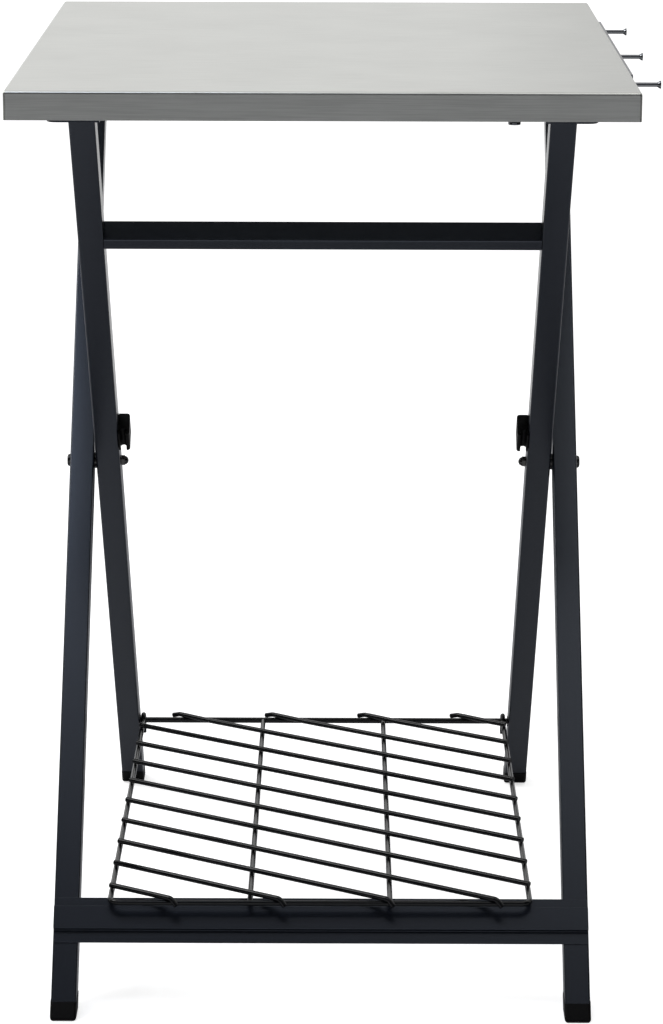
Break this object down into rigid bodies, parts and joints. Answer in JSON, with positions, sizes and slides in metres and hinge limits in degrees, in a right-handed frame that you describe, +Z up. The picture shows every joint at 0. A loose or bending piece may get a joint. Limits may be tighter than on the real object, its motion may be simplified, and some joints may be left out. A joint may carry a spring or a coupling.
{
  "type": "outdoor pizza oven table",
  "caption": "Folding pizza oven table: brushed stainless worktop on crossed black square-tube legs, swing-up diagonal wire shelf near the floor, headed pegs on the right-hand edge",
  "frame": {"origin": "centre of the worktop's flat upper face", "axes": "+X is the table's right seen from the front, the side with the pegs; +Y points to the rear; +Z is up"},
  "size_m": [0.6322, 0.83, 0.92],
  "materials": {
    "brushed_stainless": "brushed",
    "polished_stainless": "polished",
    "black_powder_coat": "satin powder coat",
    "black_fastener": "black oxide",
    "black_plastic": "matte",
    "black_coated_wire": "satin"
  },
  "bodies": {
    "outer_frame": {"outer_leg_left": "black_powder_coat", "outer_leg_right": "black_powder_coat", "front_crossbar": "black_powder_coat", "front_foot_cap_left": "black_plastic", "front_foot_cap_right": "black_plastic", "outer_top_cap_left": "black_plastic", "outer_top_cap_right": "black_plastic", "pivot_bolts": "black_fastener", "pivot_spacers": "black_fastener", "pivot_cap_nuts": "black_fastener"},
    "inner_frame": {"inner_leg_left": "black_powder_coat", "inner_leg_right": "black_powder_coat", "upper_crossbar": "black_powder_coat", "rear_rod": "black_fastener", "rod_collars": "black_fastener", "shelf_clip_left": "black_plastic", "shelf_clip_right": "black_plastic", "rear_foot_cap_left": "black_plastic", "rear_foot_cap_right": "black_plastic"},
    "worktop": {"worktop_tray": "brushed_stainless", "hook_rail": "black_powder_coat", "hook_pegs": "polished_stainless", "leg_bracket_left": "black_powder_coat", "leg_bracket_right": "black_powder_coat", "top_hinge_pins": "polished_stainless", "rear_stop_left": "black_powder_coat", "rear_stop_right": "black_powder_coat", "underside_knob": "polished_stainless"},
    "shelf": {"shelf_frame_wire": "black_coated_wire", "shelf_support_wires": "black_coated_wire", "shelf_diagonal_wires": "black_coated_wire"}
  },
  "joints": [
    {"name": "leg_fold", "type": "hinge", "parent": "outer_frame", "child": "inner_frame", "pos_m": [0, -0.02819, -0.43997], "axis": [-1, 0, 0], "range_deg": [0, 68]},
    {"name": "worktop_tilt", "type": "hinge", "parent": "inner_frame", "child": "worktop", "pos_m": [0, -0.36797, -0.0185], "axis": [1, 0, 0], "range_deg": [0, 34]},
    {"name": "shelf_swing", "type": "hinge", "parent": "inner_frame", "child": "shelf", "pos_m": [0, 0.28128, -0.82382], "axis": [-1, 0, 0], "range_deg": [0, 47]}
  ],
  "couplings": [
    {"joint": "worktop_tilt", "follows": "leg_fold", "ratio": 0.5}
  ]
}
